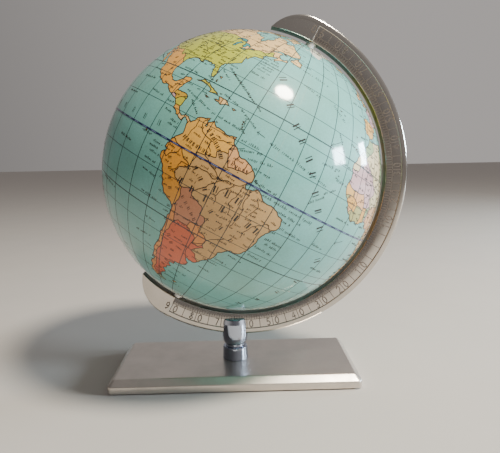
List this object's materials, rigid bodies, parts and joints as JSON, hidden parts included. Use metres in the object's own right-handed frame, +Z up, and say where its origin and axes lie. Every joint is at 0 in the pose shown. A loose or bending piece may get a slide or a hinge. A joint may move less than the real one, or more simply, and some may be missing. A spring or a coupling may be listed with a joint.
{
  "type": "desktop globe",
  "caption": "Small desktop globe: a map ball that turns on a tilted axis between the ends of a graduated metal arm, on a short stem and a bevelled base plate.",
  "frame": {"origin": "centre of the rest face, on the underside of the felt pad, on the stem's axis", "axes": "+Z up, +X towards the middle of the arm and the way the north pole leans, -Y towards the viewer who reads the scale with the north pole at the upper right"},
  "size_m": [0.1665, 0.15, 0.1978],
  "materials": {
    "map_paper": "printed, glossy varnish",
    "board": "pressed board",
    "wood": "bare turned wood",
    "brass": "turned",
    "satin_metal": "fine satin polish",
    "arm_metal": "polished, slightly dulled",
    "plated_metal": "bright plated",
    "screw_steel": "plain turned steel",
    "felt": "felt"
  },
  "bodies": {
    "stand": {"base_plate": "satin_metal", "base_felt": "felt", "stem_collar": "plated_metal", "fork_stem": "plated_metal", "stem_screw": "screw_steel", "stem_washer": "screw_steel", "meridian_arm": "arm_metal", "arm_grub_screw": "screw_steel", "pole_screw_north": "plated_metal", "pole_screw_south": "plated_metal", "pole_spacer_north": "plated_metal", "pole_spacer_south": "plated_metal"},
    "ball": {"shell_north": "board", "shell_south": "board", "joint_band": "board", "core_strut": "wood", "pole_bush_north": "brass", "pole_bush_south": "brass", "map_gore_01": "map_paper", "map_gore_02": "map_paper", "map_gore_03": "map_paper", "map_gore_04": "map_paper", "map_gore_05": "map_paper", "map_gore_06": "map_paper", "map_gore_07": "map_paper", "map_gore_08": "map_paper", "map_gore_09": "map_paper", "map_gore_10": "map_paper", "map_gore_11": "map_paper", "map_gore_12": "map_paper", "polar_cap_north": "map_paper", "polar_cap_south": "map_paper"}
  },
  "joints": [
    {"name": "ball_spin", "type": "hinge", "parent": "stand", "child": "ball", "pos_m": [0.0062, 0, 0.11419], "axis": [0.4909, 0, 0.8712], "continuous": true}
  ]
}
